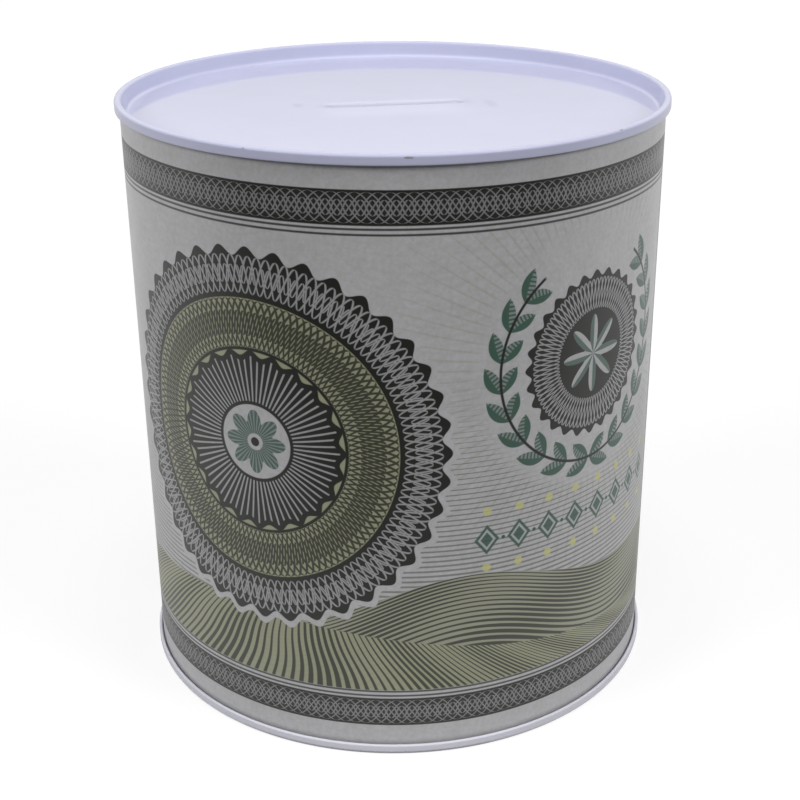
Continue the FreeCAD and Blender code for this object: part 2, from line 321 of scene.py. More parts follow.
def math_step(operation, *values, clamp=False):
    """One arithmetic step on fields and numbers."""
    tree = next(value.tree for value in values if isinstance(value, Field))
    node = tree.nodes.new("ShaderNodeMath")
    node.operation = operation
    node.use_clamp = clamp
    for value, socket in zip(values, node.inputs):
        connect(tree, value, socket)
    return Field(node.outputs[0])


def blend(under, over, cover):
    """Colour over laid on colour under, as far as the field cover says."""
    tree = cover.tree
    node = tree.nodes.new("ShaderNodeMix")
    node.data_type = "RGBA"
    connect(tree, cover, node.inputs["Factor"])
    for value, socket in ((under, node.inputs[6]), (over, node.inputs[7])):
        connect(tree, value if isinstance(value, Field) else (*value, 1.0), socket)
    return Field(node.outputs[2])


def inside(distance, softness):
    """1 where a distance is above zero, 0 where it is below, over a soft edge."""
    return math_step("MULTIPLY_ADD", distance, 1 / softness, 0.5, clamp=True)


def far_from(x, y):
    """Distance from a middle, the root of the squares of x and y added."""
    return math_step("SQRT", x * x + y * y)


def size_of(value):
    """A field without its sign."""
    return math_step("ABSOLUTE", value)


def noise(tree, place, scale, detail=2.0, roughness=0.5):
    """Cloudy noise from 0 to 1 over a place, scale features to the metre."""
    node = tree.nodes.new("ShaderNodeTexNoise")
    node.inputs["Scale"].default_value = scale
    node.inputs["Detail"].default_value = detail
    node.inputs["Roughness"].default_value = roughness
    tree.links.new(place, node.inputs["Vector"])
    return Field(node.outputs["Fac"])


def new_group(name, inputs, outputs):
    """Empty shader group with its named number sockets, and its input fields."""
    group = bpy.data.node_groups.new(name, "ShaderNodeTree")
    for label, kind in inputs:
        group.interface.new_socket(label, in_out="INPUT", socket_type=kind)
    for label in outputs:
        group.interface.new_socket(label, in_out="OUTPUT", socket_type="NodeSocketFloat")
    entry = group.nodes.new("NodeGroupInput")
    leave = group.nodes.new("NodeGroupOutput")
    return group, [Field(socket) for socket in entry.outputs[:-1]], leave


def placed(tree, group, *values):
    """A group used once in a tree, with its inputs fed in order. Gives its output fields."""
    node = tree.nodes.new("ShaderNodeGroup")
    node.node_tree = group
    for value, socket in zip(values, node.inputs):
        connect(tree, value, socket)
    fields = [Field(socket) for socket in node.outputs]
    return fields[0] if len(fields) == 1 else fields


SMEARS_PER_METRE = 38
SMEAR_CONTRAST = 2.4
SMEAR_LEVEL = -0.7
RAGS_PER_METRE = 1900


def handling_marks():
    """Group for a sheet that has been handled: soft smears, and a ragged edge for chips and scuffs.

    A smear is cloudy noise with its contrast raised. The ragged edge is fine noise about zero.
    """
    group, (place,), leave = new_group(
        "handling marks",
        [("Place", "NodeSocketVector")],
        ["Smear", "Ragged"],
    )
    smear = noise(group, place.socket, SMEARS_PER_METRE, 4, 0.62)
    smear = math_step("MULTIPLY_ADD", smear, SMEAR_CONTRAST, SMEAR_LEVEL, clamp=True)
    ragged = noise(group, place.socket, RAGS_PER_METRE, 2) - 0.5
    group.links.new(smear.socket, leave.inputs["Smear"])
    group.links.new(ragged.socket, leave.inputs["Ragged"])
    return group


marks = handling_marks()


def new_material(name):
    """Empty material with its Principled shader and its object coordinates."""
    material = bpy.data.materials.new(name)
    material.use_nodes = True
    tree = material.node_tree
    shader = tree.nodes["Principled BSDF"]
    place = tree.nodes.new("ShaderNodeTexCoord").outputs["Object"]
    return material, tree, shader, place


PEBBLE_RELIEF = 0.1 * MM


def pebbled(tree, shader, height, strength):
    """Fine relief on a shader, from a field of heights."""
    bump = tree.nodes.new("ShaderNodeBump")
    bump.inputs["Strength"].default_value = strength
    bump.inputs["Distance"].default_value = PEBBLE_RELIEF
    tree.links.new(height.socket, bump.inputs["Height"])
    tree.links.new(bump.outputs["Normal"], shader.inputs["Normal"])


def round_the_can(tree, place):
    """Turn about the can's axis in radians, and the distance from it and height in millimetres."""
    split = tree.nodes.new("ShaderNodeSeparateXYZ")
    tree.links.new(place, split.inputs[0])
    x, y, z = (Field(socket) for socket in split.outputs)
    return math_step("ARCTAN2", y, x), far_from(x, y) / MM, z / MM


LAVENDER_WHITE = (0.560, 0.570, 0.752)
SMEARED_SHARE = 0.955
# Grey of the rim's chips, also used for the painted shade on the front of the standing edge.
CHIPPED_AND_SHADED = (0.300, 0.300, 0.335)
SCUFFED_SHARES = (0.86, 0.87, 0.90)
CHIP_FLATNESS = 3.6
CHIP_RAGGED = 1.6
CHIP_EDGE = 0.8
SCUFF_EDGE = 1.2
RIM_CHIPS = [(-126.5, 172.0, 0.45), (-96.3, 171.7, 1.15), (-51.8, 172.2, 0.60)]
SLOT_SCUFFS = [(-27.4, 2.8, 1.3, 2.4), (27.4, -4.2, 1.5, 4.6)]
# Painted shade: the pierced lip below this level is painted greyer, as in the slot's shade.
LIP_SHADE_GREY = (0.575, 0.585, 0.680)
LIP_SHADE_LEVEL = (CAN_HEIGHT - PANEL_DEPTH) / MM - 0.25
LIP_SHADE_SOFTNESS = 0.3
FOOT_SHADE_FADE = 0.35
FOOT_SHADE_RAGGED = 0.5
FOOT_SHADE_EDGE = 0.4
FOOT_SHADE_COVER = 0.85
DRAWN_RADIUS = (CHUCK_RADIUS - CHUCK_LEAN) / MM
DRAWN_EDGE = 1.0
GLOSS_ROUGHNESS = 0.04
SMEAR_ROUGHNESS = 0.04
DRAWN_ROUGHNESS = 0.18
PEBBLES_PER_METRE = 420
PEBBLE_STRENGTH = 0.05


def lacquer_finish(name, white, chips=(), scuffs=(), lip_shade_level=None, foot_shade=None):
    """Glossy stoving lacquer, faintly smeared and pebbled, and duller where the rim is drawn.

    A chip from a knock on the rim is a flat ellipse with a ragged edge, given by its turn, height
    and half length. A scuff is a soft ellipse on the panel, given by its middle and half sizes. A
    pierced lip is painted greyer below a level, as painted shade inside the slot. The front of the
    edge that the can stands on is painted grey as painted shade, given by its height, its turn and
    how far the shade spreads to each side. Lengths are in millimetres and turns in degrees.
    """
    material, tree, shader, place = new_material(name)
    turn, radius, height = round_the_can(tree, place)
    smear, ragged = placed(tree, marks, Field(place))
    smeared = [SMEARED_SHARE * part for part in white]
    colour = blend(white, smeared, smear)
    for chip_turn, chip_height, half_length in chips:
        along = (turn - math.radians(chip_turn)) * (SEAM_RADIUS / MM)
        above = (height - chip_height) * CHIP_FLATNESS
        chip = inside(half_length + ragged * CHIP_RAGGED - far_from(along, above), CHIP_EDGE)
        colour = blend(colour, CHIPPED_AND_SHADED, chip)
    scuffed = [share * part for share, part in zip(SCUFFED_SHARES, white)]
    for scuff_x, scuff_y, half_width, half_depth in scuffs:
        across = (radius * math_step("COSINE", turn) - scuff_x) / half_width
        along = (radius * math_step("SINE", turn) - scuff_y) / half_depth
        scuff = inside(1 + ragged - far_from(across, along), SCUFF_EDGE)
        colour = blend(colour, scuffed, scuff)
    # Painted shade: the lip below a level is painted greyer, as in the slot's shade.
    if lip_shade_level:
        colour = blend(colour, LIP_SHADE_GREY, inside(lip_shade_level - height, LIP_SHADE_SOFTNESS))
    # Painted shade: the front of the standing edge is painted grey, as the dark of its shade.
    if foot_shade:
        foot_shade_height, foot_shade_turn, spread = foot_shade
        beside = size_of(turn - math.radians(foot_shade_turn))
        foot_shade_mask = inside(math.radians(spread) - beside, FOOT_SHADE_FADE)
        foot_shade_mask = foot_shade_mask * inside(foot_shade_height + ragged * FOOT_SHADE_RAGGED - height, FOOT_SHADE_EDGE)
        colour = blend(colour, CHIPPED_AND_SHADED, foot_shade_mask * FOOT_SHADE_COVER)
    tree.links.new(colour.socket, shader.inputs["Base Color"])
    drawn = inside(radius - DRAWN_RADIUS, DRAWN_EDGE)
    roughness = smear * SMEAR_ROUGHNESS + GLOSS_ROUGHNESS + drawn * DRAWN_ROUGHNESS
    tree.links.new(roughness.socket, shader.inputs["Roughness"])
    pebbled(tree, shader, noise(tree, place, PEBBLES_PER_METRE, 2), PEBBLE_STRENGTH)
    return material


lavender_lacquer = lacquer_finish(
    "lavender lacquer", LAVENDER_WHITE, RIM_CHIPS, SLOT_SCUFFS, LIP_SHADE_LEVEL
)
top_end = closed_shell("stamped_top", top_end_grid(), lavender_lacquer)
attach(top_end, "root")
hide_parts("top_end")

# Wall: one printed and varnished tinplate sheet, rolled and lap-welded. Its edges are flanged out
# and folded into the ends' hooks. The print goes twice round, and the weld's strip is left bare.
WELD_ANGLE = math.radians(165)
WELD_HALF_WIDTH = 0.5 * MM
WELD_RISE = 0.12 * MM
WELD_INSET = 0.6 * MM
WALL_WAVE = 0.05 * MM
HOOK_BEND = 0.40 * MM
WALL_STEP = 4 * MM
WALL_COLUMNS = 480
WELD_COLUMNS = 13

# Each wave's share, its count round the can, its start in radians, and the metres up the can over
# which it goes on by one radian.
WALL_WAVES = [(1.0, 3, 0.7, math.inf), (0.6, 7, 0.0, 0.041), (0.4, 11, 0.0, -0.033)]


def wall_section():
    """Centre line of the wall from its top hook, down the can and into its bottom hook."""
    wall = WALL_RADIUS - WALL_GAUGE / 2
    tip = SEAM_HEIGHT - END_GAUGE - HOOK_CLEARANCE
    corners = [
        (BODY_HOOK_RADIUS, CAN_HEIGHT - tip),
        (BODY_HOOK_RADIUS, CAN_HEIGHT - BODY_CROWN),
        (wall, CAN_HEIGHT - BODY_CROWN),
        (wall, BODY_CROWN),
        (BODY_HOOK_RADIUS, BODY_CROWN),
        (BODY_HOOK_RADIUS, tip),
    ]
    return bent_path(corners, [HOOK_BEND] * 4, WALL_STEP)


def wall_turns():
    """Where the wall's columns stand, with more of them across the weld's ridge."""
    around = np.linspace(0, 2 * np.pi, WALL_COLUMNS, endpoint=False)
    beside_weld = np.linspace(-1.5, 1.5, WELD_COLUMNS) * WELD_HALF_WIDTH / WALL_RADIUS
    return np.unique(np.round(np.concatenate([around, WELD_ANGLE + beside_weld]), 9))


def wall_grid():
    """The wall's folded section carried round the axis, with the weld's ridge on both faces.

    The sheet also wanders in and out by a few sines round and up the can, as rolled tinplate does.
    """
    angles = wall_turns()
    grid = turned(both_faces(*wall_section(), WALL_GAUGE), angles)
    height = grid[..., 2]
    radius = np.hypot(grid[..., 0], grid[..., 1])
    clear = SEAM_HEIGHT + WELD_INSET
    between = np.clip(np.minimum(height, CAN_HEIGHT - height) / clear - 1, 0, 1)
    turn = np.broadcast_to(angles, height.shape)
    wave = 0
    for share, count, start, rise in WALL_WAVES:
        wave = wave + share * np.sin(count * turn + start + height / rise)
    ridge = np.clip(1.5 - np.abs(turn - WELD_ANGLE) * WALL_RADIUS / WELD_HALF_WIDTH, 0, 0.5) * 2
    face = np.sign(radius - WALL_RADIUS + WALL_GAUGE / 2)
    moved = radius + between * (WALL_WAVE * wave + face * WELD_RISE * ridge)
    grid[..., :2] *= (moved / radius)[..., None]
    return grid


BAKE_EDGE = 0.004
BAND_FEET = np.array([0.530, 0.060])
BAND_HEIGHT = 0.465
STRIP_FEET = np.array([0.032, 0.006])
STRIP_HEIGHT = 0.020


def wall_bake_map():
    """Place of every face on the wall's baked picture.

    The outer face is cut at the weld and opposite to it into two halves, which fill two tall bands.
    The hidden rest of the section follows by its length in a thin strip for each half.
    """
    points, normals = wall_section()
    section = both_faces(points, normals, WALL_GAUGE)
    steps = np.linalg.norm(np.roll(section, -1, axis=0) - section, axis=1)
    starts = np.cumsum(steps) - steps
    outer = np.flatnonzero(normals[:, 0] > 0.999)
    top, bottom = starts[outer[0]], starts[outer[-1]]
    on_outer = (starts >= top) & (starts < bottom)
    hidden = steps.sum() - (bottom - top)
    from_bottom = (starts - bottom) % steps.sum()
    begin = np.where(on_outer, (starts - top) / (bottom - top), from_bottom / hidden)
    end = begin + np.where(on_outer, steps / (bottom - top), steps / hidden)

    angles = wall_turns()
    widths = (np.roll(angles, -1) - angles) % (2 * np.pi)
    middles = (angles + widths / 2 - WELD_ANGLE) % (2 * np.pi)
    half = (middles > np.pi).astype(int)
    left = (middles - widths / 2) / np.pi - half
    right = (middles + widths / 2) / np.pi - half

    foot = np.where(on_outer[:, None], BAND_FEET[half], STRIP_FEET[half])
    tall = np.where(on_outer[:, None], BAND_HEIGHT, STRIP_HEIGHT)
    upper = foot + tall * (1 - begin[:, None])
    lower = foot + tall * (1 - end[:, None])
    across = np.stack([left, right, right, left], axis=-1)
    across = BAKE_EDGE + (1 - 2 * BAKE_EDGE) * across
    across = np.broadcast_to(across, upper.shape + (4,))
    return np.stack([across, np.stack([upper, upper, lower, lower], axis=-1)], axis=-1)


def engraved_lines():
    """Group for engraved lines: ink near the whole numbers of a position, as wide as its share."""
    group, (position, share), leave = new_group(
        "engraved lines",
        [("Position", "NodeSocketFloat"), ("Inked share", "NodeSocketFloat")],
        ["Ink"],
    )
    away = math_step("PINGPONG", position, 0.5)
    ink = inside(share * 0.5 - away, 0.09)
    group.links.new(ink.socket, leave.inputs["Ink"])
    return group


engraving = engraved_lines()


def lines(position, share):
    """Engraved lines at the whole numbers of a position, inked over a share of their spacing."""
    return placed(position.tree, engraving, position, share)


def lathe_lace():
    """Group for a lace of equal sine lines, each a step along from the last.

    Across runs from -1 to 1 over the lace and waves counts along it. A point is on a line where
    the phase that carries a sine through it, one of two, is a whole number of strands.
    """
    group, (across, waves, strands, share), leave = new_group(
        "lathe lace",
        [(label, "NodeSocketFloat") for label in ("Across", "Waves", "Strands", "Inked share")],
        ["Ink"],
    )
    bounded = math_step("MAXIMUM", math_step("MINIMUM", across, 1.0), -1.0)
    phase = math_step("ARCSINE", bounded) * (0.5 / math.pi)
    rising = lines((phase - waves) * strands, share)
    falling = lines((0.5 - phase - waves) * strands, share)
    within = inside(1 - size_of(across), 0.08)
    ink = math_step("MAXIMUM", rising, falling) * within
    group.links.new(ink.socket, leave.inputs["Ink"])
    return group


lace = lathe_lace()


def lacework(across, waves, strands, share):
    """A lace across a band, with so many waves along it."""
    return placed(across.tree, lace, across, waves, strands, share)


# The print's own measures are in millimetres, along the wall from the print's middle and up from
# the foot. A motif's edge is soft over a quarter of a millimetre.
PRINT_TURN = math.radians(-105)
PRINT_WIDTH = math.pi * WALL_RADIUS / MM
EDGE = 0.25

PAPER = (0.512, 0.508, 0.528)
PAPER_SHADE = (0.422, 0.424, 0.424)
INK = (0.007, 0.008, 0.005)
SKY_INK = (0.055, 0.058, 0.048)
OLIVE = (0.280, 0.285, 0.188)
PALE_OLIVE = (0.322, 0.328, 0.222)
LEAF_GREEN = (0.022, 0.080, 0.052)
PALE_YELLOW = (0.560, 0.545, 0.200)
TINPLATE = (0.560, 0.560, 0.555)


def sine(angle):
    """Sine of a field in radians."""
    return math_step("SINE", angle)


def either(one, other):
    """Covered where either of two covers is."""
    return math_step("MAXIMUM", one, other)


def about(along, up, centre):
    """Distance from a motif's centre, and the turn about it as a share of a full turn."""
    x, y = along - centre[0], up - centre[1]
    return far_from(x, y), math_step("ARCTAN2", y, x) * (0.5 / math.pi)


def scallops(turn, count):
    """A cosine with so many waves to a full turn."""
    return math_step("COSINE", turn * (2 * math.pi * count))


MEDALLION_CENTRE = (66.0, 113.0)
FIELD_PITCH = 2.4
FIELD_SWELL = 1.6
RAY_COUNT = 96


def tinted_field(under, along, up):
    """Faint olive waves one above the other over the whole ground."""
    swell = FIELD_SWELL * sine(along / 7 + 2 * sine(up / 23))
    return blend(under, PALE_OLIVE, lines((up + swell) / FIELD_PITCH, 0.34) * 0.09)


def ray_burst(under, along, up):
    """Olive rays from the medallion's centre over the whole ground, thinner further out."""
    radius, turn = about(along, up, MEDALLION_CENTRE)
    return blend(under, OLIVE, lines(turn * RAY_COUNT, 0.56 - 0.0085 * radius) * 0.30)


SKY_PITCH = 1.5
FAR_CREST = 44
NEAR_CREST = 34
FURROW_SPREAD = 20
FAN_MIDDLE = -20
FAN_COUNT = 7


def hill_country(under, along, up):
    """Sky of lines that thin out upwards, a far hill and a near one.

    The far hill's furrows follow its crest and lie wider apart further down, as a logarithm. The
    near hill's fan out from a point behind its crest. Slow sines swell and thin the furrows.
    """
    crest = FAR_CREST + 9 * sine(along / 38 + 0.5) + 3.5 * sine(along / 15)
    above = up - crest
    sky = lines(up / SKY_PITCH + 0.25 * sine(along / 21), 0.42 - 0.0078 * above)
    colour = blend(under, SKY_INK, sky * inside(above, 1.0) * 0.62)
    hill = inside(0 - above, EDGE)
    depth = math_step("MAXIMUM", 0 - above, 0.0)
    colour = blend(colour, OLIVE, hill * 0.8)
    swell = 0.44 + 0.16 * sine(along / 9 + depth / 6) + 0.004 * depth
    furrows = math_step("LOGARITHM", 1 + depth / FURROW_SPREAD, math.e) * FURROW_SPREAD
    furrows = furrows + 0.9 * sine(along / 17)
    colour = blend(colour, INK, lines(furrows, swell) * hill * 0.88)

    above = up - NEAR_CREST - 8 * sine(along / 46 + 2.6)
    hill = inside(0 - above, EDGE)
    depth = math_step("MAXIMUM", 0 - above, 0.0)
    colour = blend(colour, PALE_OLIVE, hill * 0.95)
    fan = (along - FAN_MIDDLE) / (12 + 0.4 * depth) * FAN_COUNT
    swell = 0.38 + 0.14 * sine(0.5 * fan) + 0.006 * depth
    return blend(colour, INK, lines(fan + 0.15 * sine(depth / 3), swell) * hill * 0.9)


ROSETTE_CENTRE = (-31.0, 93.0)
ROSETTE_RADIUS = 52.5
ROSETTE_SCALLOPS = 40
PALE_LACE_RADIUS = 46.3
DARK_LACE_RADIUS = 33.2
OLIVE_RING = 40.85
RAY_RING = 26.65
RING_RULE = 0.9
PETAL_RADIUS = 25.2
PETAL_COUNT = 24
FLOWER_GROUND = 11.6
FLOWER_RULE = 1.0


def great_rosette(under, ground, along, up):
    """Lathe-turned rosette of three rings about a green flower.

    From the outside: a dark scalloped ring with pale lace, an olive ring with dark lace, and a
    dark ring with pale rays.
    """
    radius, turn = about(along, up, ROSETTE_CENTRE)

    def within(reach):
        return inside(reach - radius, EDGE)

    def ruled(under, reach, rule, over):
        return blend(blend(under, INK, within(reach)), over, within(reach - rule))

    def ring_lace(middle, half_width, waves, strands, share):
        return lacework((radius - middle) / half_width, turn * waves, strands, share)

    edge = ROSETTE_RADIUS + 1.3 * scallops(turn, ROSETTE_SCALLOPS)
    colour = blend(under, ground, within(edge + 2))
    colour = blend(colour, INK, within(edge))
    wide = ring_lace(PALE_LACE_RADIUS, 5.0, 40, 3, 0.20)
    narrow = ring_lace(PALE_LACE_RADIUS, 2.4, 80, 2, 0.20)
    colour = blend(colour, ground, either(wide, narrow) * 0.72)

    colour = ruled(colour, OLIVE_RING, RING_RULE, PALE_OLIVE)
    wide = ring_lace(DARK_LACE_RADIUS, 6.6, 20, 6, 0.36)
    narrow = ring_lace(DARK_LACE_RADIUS, 3.4, 40, 3, 0.36)
    colour = blend(colour, INK, either(wide, narrow) * 0.9)

    colour = ruled(colour, RAY_RING, RING_RULE, PALE_OLIVE)
    petals = 0.8 * scallops(turn, PETAL_COUNT)
    colour = blend(colour, INK, within(PETAL_RADIUS + petals))
    rays = lines(turn * (3 * PETAL_COUNT), 0.62 - 0.016 * radius)
    rays = rays * within(PETAL_RADIUS - 1.7 + petals)
    colour = blend(colour, ground, rays * 0.75)
    colour = ruled(colour, FLOWER_GROUND, FLOWER_RULE, ground)

    flower = within(5.6 + 3.6 * size_of(scallops(turn, 4)))
    colour = blend(colour, LEAF_GREEN, flower * 0.9)
    colour = blend(colour, ground, lines(turn * 40, 0.4) * flower * 0.4)
    colour = blend(colour, ground, within(2.4))
    return blend(colour, INK, within(1.3))


MEDALLION_RADIUS = 22.5
MEDALLION_SCALLOPS = 28
STAR_POINTS = 8
WREATH_RADIUS = 30.5
WREATH_SHARE = 0.40
LEAF_COUNT = 9
LEAF_LENGTH = 8.9
LEAF_HALF_WIDTH = 2.0
LEAF_LEAN = 0.55


def wreathed_medallion(under, ground, along, up):
    """Dark medallion with a star of eight points, in an open wreath.

    The wreath is one leaf repeated along a ring and mirrored over it, from the foot up both sides.
    A leaf is a lens between two parabolas, leaning away from the stem, dark on one half.
    """
    radius, turn = about(along, up, MEDALLION_CENTRE)

    def within(reach):
        return inside(reach - radius, EDGE)

    colour = blend(under, ground, inside(WREATH_RADIUS + 7 - radius, 4.0) * 0.85)
    edge = MEDALLION_RADIUS + 0.9 * scallops(turn, MEDALLION_SCALLOPS)
    colour = blend(colour, INK, within(edge))
    pale = lacework((radius - 16.8) / 4.2, turn * MEDALLION_SCALLOPS, 3, 0.26)
    colour = blend(colour, ground, pale * 0.72)
    star = within(7.4 + 3.6 * scallops(turn, STAR_POINTS))
    colour = blend(colour, ground, star * 0.9)
    facet = inside(sine(turn * (2 * math.pi * STAR_POINTS)), 0.3)
    colour = blend(colour, LEAF_GREEN, star * facet * 0.85)

    from_foot = math_step("PINGPONG", turn + 0.25, 0.5)
    open_top = inside(WREATH_SHARE - from_foot, 0.004)
    beside = size_of(radius - WREATH_RADIUS)
    pitch = 2 * math.pi * WREATH_RADIUS * WREATH_SHARE / LEAF_COUNT
    onward = (math_step("FRACT", from_foot * (LEAF_COUNT / WREATH_SHARE)) - 0.5) * pitch
    c, s = math.cos(LEAF_LEAN), math.sin(LEAF_LEAN)
    lengthwise = onward * c + beside * s
    crosswise = beside * c - onward * s - 2.1
    share = (lengthwise + 3.5) / LEAF_LENGTH
    half_width = share * (1 - share) * (4 * LEAF_HALF_WIDTH)
    leaf = inside(half_width - size_of(crosswise), EDGE) * open_top
    shade = either(inside(crosswise, EDGE), lines(lengthwise / 1.1, 0.45))
    colour = blend(colour, LEAF_GREEN, leaf * (0.55 + 0.4 * shade))
    stem = inside(0.4 - beside, EDGE) * open_top
    return blend(colour, INK, stem)


ROW_CENTRE = (66.0, 66.0)
ROW_PITCH = 9.6
ROW_HALF_LENGTH = 37.6
LOZENGE_HALF = 3.6
LOZENGE_RULE = 2.2
ROW_DOT = 0.55
DOT_ROWS = (8.5, -8.5)
YELLOW_DOT = 1.25


def green_row(under, ground, along, up):
    """Row of eight green lozenges with dots between them, and pale yellow dots above and below."""
    from_middle = along - ROW_CENTRE[0]
    in_row = inside(ROW_HALF_LENGTH - size_of(from_middle), EDGE)
    x = (math_step("FRACT", from_middle / ROW_PITCH) - 0.5) * ROW_PITCH
    y = up - ROW_CENTRE[1]
    lozenge = size_of(x) + 0.8 * size_of(y)
    colour = blend(under, LEAF_GREEN, inside(LOZENGE_HALF - lozenge, EDGE) * in_row * 0.92)
    rule = inside(0.4 - size_of(lozenge - LOZENGE_RULE), EDGE)
    colour = blend(colour, ground, rule * in_row * 0.85)
    beside = size_of(x) - ROW_PITCH / 2
    dot = inside(ROW_DOT - far_from(beside, y), EDGE)
    colour = blend(colour, LEAF_GREEN, dot * in_row)
    for rise in DOT_ROWS:
        dot = inside(YELLOW_DOT - far_from(x, y - rise), EDGE)
        colour = blend(colour, PALE_YELLOW, dot * in_row * 0.8)
    return colour


FRIEZE_HEIGHTS = (159.1, 13.5)
FRIEZE_HALF_HEIGHT = 4.5
RULE_HEIGHTS = (153.7, 152.3, 20.3, 18.9)
BORDER_MIDDLE = 113.0
BORDER_HALF_WIDTH = 3.2
BORDER_WAVE = 12.05
FRIEZE_WAVE = 17.3
NARROW_WAVE = 5.77


def lace_borders(under, ground, along, up):
    """Dark bands with pale lace: an upright one at each side, and a frieze along each edge.

    Two thin rules run along each frieze, on the side of the print's middle.
    """
    across = size_of(along) - BORDER_MIDDLE
    colour = blend(under, ground, inside(BORDER_HALF_WIDTH + 1.2 - size_of(across), EDGE))
    pale = lacework(across / 2.6, up / BORDER_WAVE, 5, 0.24)
    band = inside(BORDER_HALF_WIDTH - size_of(across), EDGE)
    colour = blend(colour, INK, band * (1 - 0.6 * pale))
    for height in FRIEZE_HEIGHTS:
        across = (up - height) / FRIEZE_HALF_HEIGHT
        colour = blend(colour, ground, inside(1.6 - size_of(across), EDGE / FRIEZE_HALF_HEIGHT))
        wide = lacework(across / 0.86, along / FRIEZE_WAVE, 6, 0.15)
        narrow = lacework(across / 0.45, along / NARROW_WAVE + 0.25, 2, 0.15)
        band = inside(1 - size_of(across), EDGE / FRIEZE_HALF_HEIGHT)
        colour = blend(colour, INK, band * (1 - 0.5 * either(wide, narrow)))
    for height in RULE_HEIGHTS:
        colour = blend(colour, INK, inside(0.3 - size_of(up - height), EDGE) * 0.9)
    return colour


MARGIN_TOP = 163.6
MARGIN_FOOT = 9.0
MARGIN_SIDE = 4.5
BARE_STRIP = 3.2
# Painted shade beside both seams: how far it reaches and how dark it is.
SEAM_SHADE_REACH = 1.5
SEAM_SHADE_DARK = 0.30
CLOUDS_PER_METRE = 160
FLECKS_PER_METRE = 800
CLOUD_LEVEL = -1.15
CLOUD_STRENGTH = 0.06
BARE_METAL = 0.9
VARNISH_ROUGHNESS = 0.30
SMEARED_VARNISH = 0.07
VARNISH_SPECULAR = 0.6


def print_finish():
    """Satin-varnished print on a pale coated ground, with bare tinplate along the weld and inside.

    The ground is cloudy and flecked. Beside both seams the wall is darkened as painted shade, more
    so towards the seam.
    """
    material, tree, shader, place = new_material("printed tinplate")
    turn, radius, up = round_the_can(tree, place)
    along = (math_step("FRACT", (turn - PRINT_TURN) / math.pi + 0.5) - 0.5) * PRINT_WIDTH
    smear, ragged = placed(tree, marks, Field(place))
    clouds = noise(tree, place, CLOUDS_PER_METRE, 3)
    flecks = noise(tree, place, FLECKS_PER_METRE, 3, 0.7)
    cloudy = clouds * 0.9 + flecks * 2.4 + CLOUD_LEVEL
    ground = blend(PAPER, PAPER_SHADE, cloudy)
    colour = tinted_field(ground, along, up)
    colour = ray_burst(colour, along, up)
    colour = hill_country(colour, along, up)
    colour = great_rosette(colour, ground, along, up)
    colour = wreathed_medallion(colour, ground, along, up)
    colour = green_row(colour, ground, along, up)
    colour = lace_borders(colour, ground, along, up)
    beyond = either(up - MARGIN_TOP, MARGIN_FOOT - up)
    beyond = either(beyond, size_of(along) - (PRINT_WIDTH / 2 - MARGIN_SIDE))
    colour = blend(colour, ground, inside(beyond, EDGE))

    from_weld = size_of(turn - WELD_ANGLE) * (WALL_RADIUS / MM)
    inner = inside((WALL_RADIUS - WALL_GAUGE / 2) / MM - radius, 0.02)
    bare = either(inner, inside(BARE_STRIP - from_weld + ragged * 0.3, EDGE))
    colour = blend(colour, TINPLATE, bare)
    # Painted shade: the wall is darkened towards both seams, under the top seam's overhang and in
    # the crevice above the bottom seam.
    into_seam = either(SEAM_HEIGHT / MM - up, up - (CAN_HEIGHT - SEAM_HEIGHT) / MM)
    painted_seam_shade = inside(into_seam + SEAM_SHADE_REACH / 2 + ragged * 0.4, SEAM_SHADE_REACH)
    colour = blend(colour, INK, painted_seam_shade * SEAM_SHADE_DARK)
    tree.links.new(colour.socket, shader.inputs["Base Color"])
    tree.links.new((bare * BARE_METAL).socket, shader.inputs["Metallic"])
    roughness = smear * SMEARED_VARNISH + VARNISH_ROUGHNESS
    tree.links.new(roughness.socket, shader.inputs["Roughness"])
    shader.inputs["Specular IOR Level"].default_value = VARNISH_SPECULAR
    pebbled(tree, shader, cloudy, CLOUD_STRENGTH)
    return material


wall = closed_shell("printed_wall", wall_grid(), print_finish(), wall_bake_map())
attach(wall, "root")
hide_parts("body_wall")

# Bottom end: the same stamping as the top, turned over, with its lacquer painted whiter and less
# lavender as a painted reflection of the white floor, and with two round steps that stiffen its
# panel instead of the slot. It is seamed on in the same way, and the front of its rim, on which the
# can stands, is painted grey as painted shade.
STEP_RADIUS = 62.0 * MM
STEP_SPACING = 9.0 * MM
STEP_HEIGHT = 1.1 * MM
STEP_BEND = 0.35 * MM
PANEL_STEP = 4 * MM
# Painted reflection: the bottom end is painted whiter and less lavender than the top, standing in
# for the white floor mirrored in it.
WHITE_WITH_PAINTED_REFLECTION = (0.645, 0.645, 0.715)
# Painted shade on the standing edge: its height, its turn and its spread.
FOOT_SHADE_SPOT = (0.95, -103, 30)


def bottom_end_grid():
    """The stepped panel's and the rim's section carried round the axis, turned over.

    The section begins and ends on the axis, once on each face of the sheet.
    """
    panel = -PANEL_DEPTH - END_GAUGE / 2
    inner, outer = STEP_RADIUS - STEP_SPACING, STEP_RADIUS
    steps = [
        (0.0, panel),
        (inner, panel),
        (inner, panel + STEP_HEIGHT),
        (outer, panel + STEP_HEIGHT),
        (outer, panel),
        (CHUCK_RADIUS - 3 * PANEL_BEND, panel),
    ]
    panel_points, panel_normals = bent_path(steps, [STEP_BEND] * 4, PANEL_STEP)
    rim_points, rim_normals = rim_path(steps[-1][0])
    points = np.concatenate([panel_points, rim_points[1:]])
    normals = np.concatenate([panel_normals, rim_normals[1:]])
    section = both_faces(points, normals, END_GAUGE) * (1, -1)
    return turned(section, np.linspace(0, 2 * np.pi, ROUND_COLUMNS, endpoint=False))


